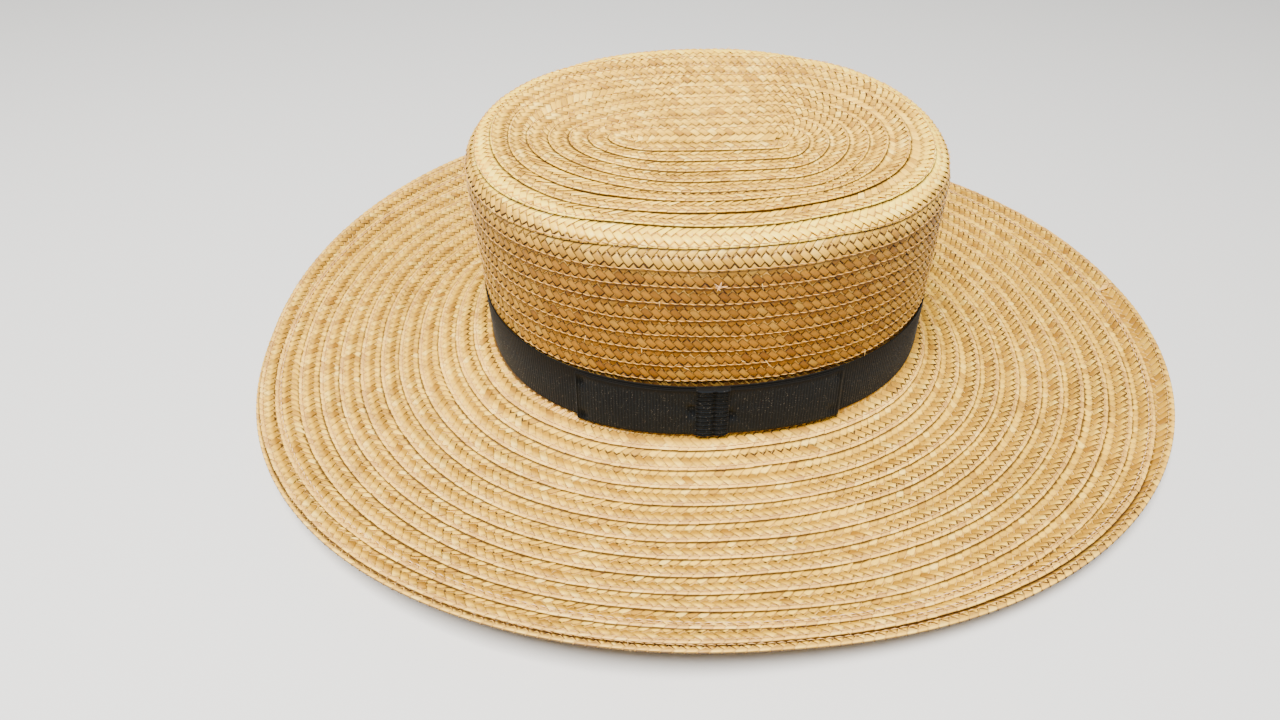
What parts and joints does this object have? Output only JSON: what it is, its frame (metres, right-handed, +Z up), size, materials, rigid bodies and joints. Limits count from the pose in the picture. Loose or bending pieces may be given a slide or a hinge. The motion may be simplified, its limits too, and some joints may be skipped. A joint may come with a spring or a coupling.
{
  "type": "amish hat",
  "caption": "Flat-topped wide-brimmed hat of coiled and sewn straw plait with a black ribbon band and a flat side bow.",
  "frame": {"origin": "middle of the bounding box, on the surface that the brim rests on", "axes": "+X along the hat's length, -Y towards the bow, +Z up out of the crown's tip"},
  "size_m": [0.4062, 0.3716, 0.1099],
  "materials": {
    "straw_plait": "natural wheat straw, plaited and sewn, with the soft gloss of split stems",
    "ribbon": "black ribbed ribbon with a low silky sheen"
  },
  "bodies": {
    "root": {"crown": "straw_plait", "brim": "straw_plait", "brim_edge": "straw_plait", "hat_band": "ribbon", "bow_left": "ribbon", "bow_right": "ribbon", "bow_knot": "ribbon"}
  },
  "joints": []
}
